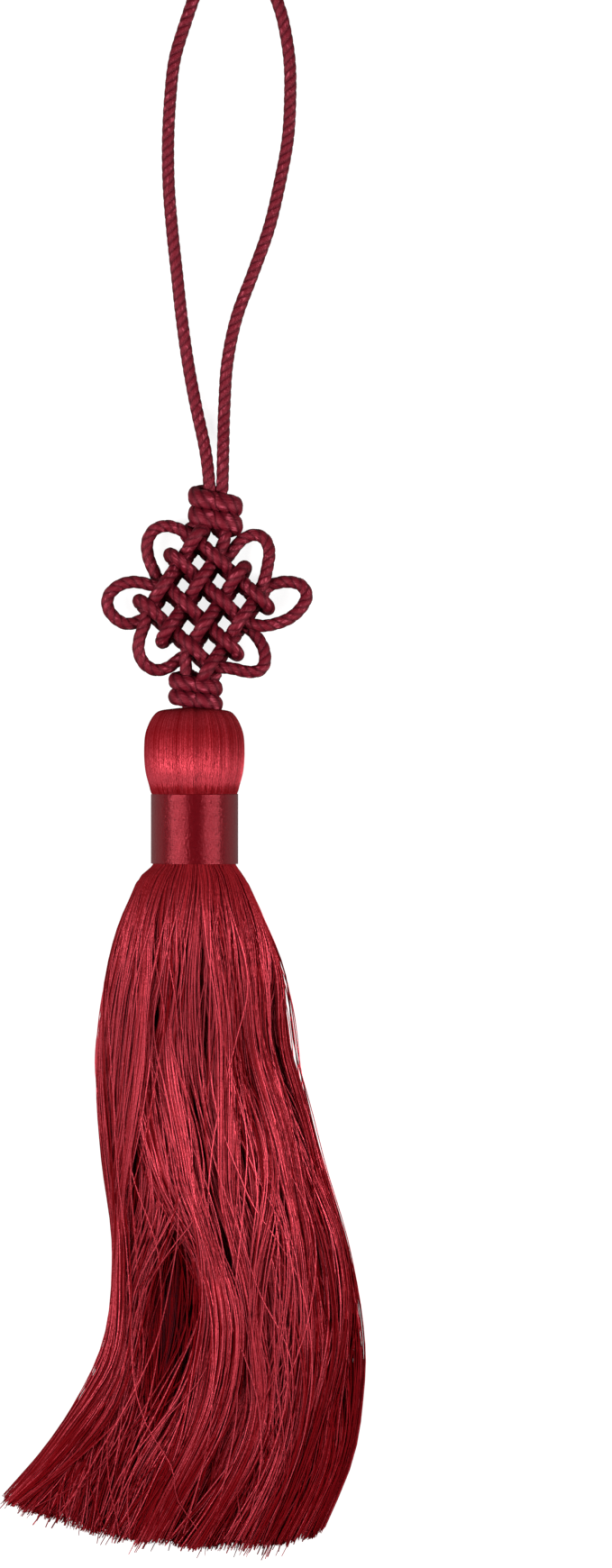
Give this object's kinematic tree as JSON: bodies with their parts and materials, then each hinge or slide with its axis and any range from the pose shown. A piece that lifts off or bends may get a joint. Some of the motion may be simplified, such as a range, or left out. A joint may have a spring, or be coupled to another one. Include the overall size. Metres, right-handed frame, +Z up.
{
  "type": "silk tassel",
  "caption": "Silk tassel with a round bound head, a satin neck band, a traditional knotted cord and a hanging loop, lying flat.",
  "frame": {"origin": "on the surface that the tassel lies on, under the middle of its round head, where the head's pressed underside rests", "axes": "+Y along the tassel towards its hanging loop, +X to the right seen from above with the loop away from the viewer, +Z up"},
  "size_m": [0.0727, 0.3328, 0.0203],
  "materials": {
    "knotting_cord": "twisted dark red knotting cord",
    "silk_thread": "glossy crimson silk thread",
    "satin_winding": "smooth dark red satin winding"
  },
  "bodies": {
    "root": {"hanging_loop": "knotting_cord", "pan_chang_knot": "knotting_cord", "tassel": "silk_thread", "neck_band": "satin_winding"}
  },
  "joints": []
}
